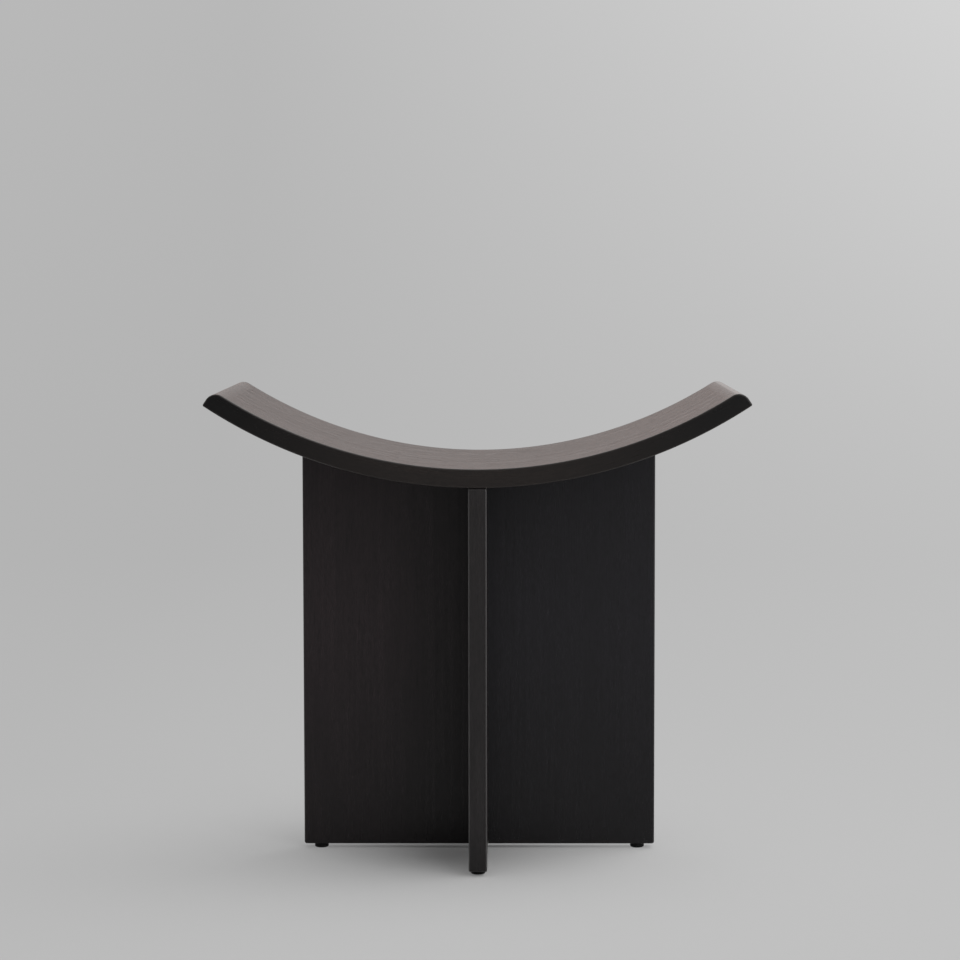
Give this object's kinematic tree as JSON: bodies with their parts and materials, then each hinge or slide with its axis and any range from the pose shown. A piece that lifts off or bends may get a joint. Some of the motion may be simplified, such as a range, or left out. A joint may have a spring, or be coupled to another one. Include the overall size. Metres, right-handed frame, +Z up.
{
  "type": "stool",
  "caption": "Low stool with a dished, bent seat on two upright panels that cross at the middle, in dark stained oak, standing on small round glides.",
  "frame": {"origin": "on the floor under the middle of the seat", "axes": "+X along the seat's length, +Y from the front edge to the rear edge, +Z up"},
  "size_m": [0.5568, 0.31, 0.4954],
  "materials": {
    "stained_oak": "black-brown stained oak, open grain, satin lacquer",
    "plywood_core": "bare plywood, hidden",
    "beech_dowel": "bare beech, glued",
    "nylon_glide": "moulded black nylon, satin",
    "zinc_pin": "zinc plated"
  },
  "bodies": {
    "root": {"seat_top_veneer": "stained_oak", "seat_underside_veneer": "stained_oak", "seat_front_lipping": "stained_oak", "seat_rear_lipping": "stained_oak", "seat_left_nosing": "stained_oak", "seat_right_nosing": "stained_oak", "wide_panel_front_veneer": "stained_oak", "wide_panel_rear_veneer": "stained_oak", "wide_panel_left_lipping": "stained_oak", "wide_panel_right_lipping": "stained_oak", "wide_panel_left_bottom_lipping": "stained_oak", "wide_panel_right_bottom_lipping": "stained_oak", "cross_panel_left_veneer": "stained_oak", "cross_panel_right_veneer": "stained_oak", "cross_panel_front_lipping": "stained_oak", "cross_panel_rear_lipping": "stained_oak", "cross_panel_bottom_lipping": "stained_oak", "seat_core": "plywood_core", "wide_panel_core": "plywood_core", "cross_panel_core": "plywood_core", "wide_panel_dowels": "beech_dowel", "cross_panel_dowels": "beech_dowel", "front_glide": "nylon_glide", "rear_glide": "nylon_glide", "left_glide": "nylon_glide", "right_glide": "nylon_glide", "glide_pins": "zinc_pin"}
  },
  "joints": []
}
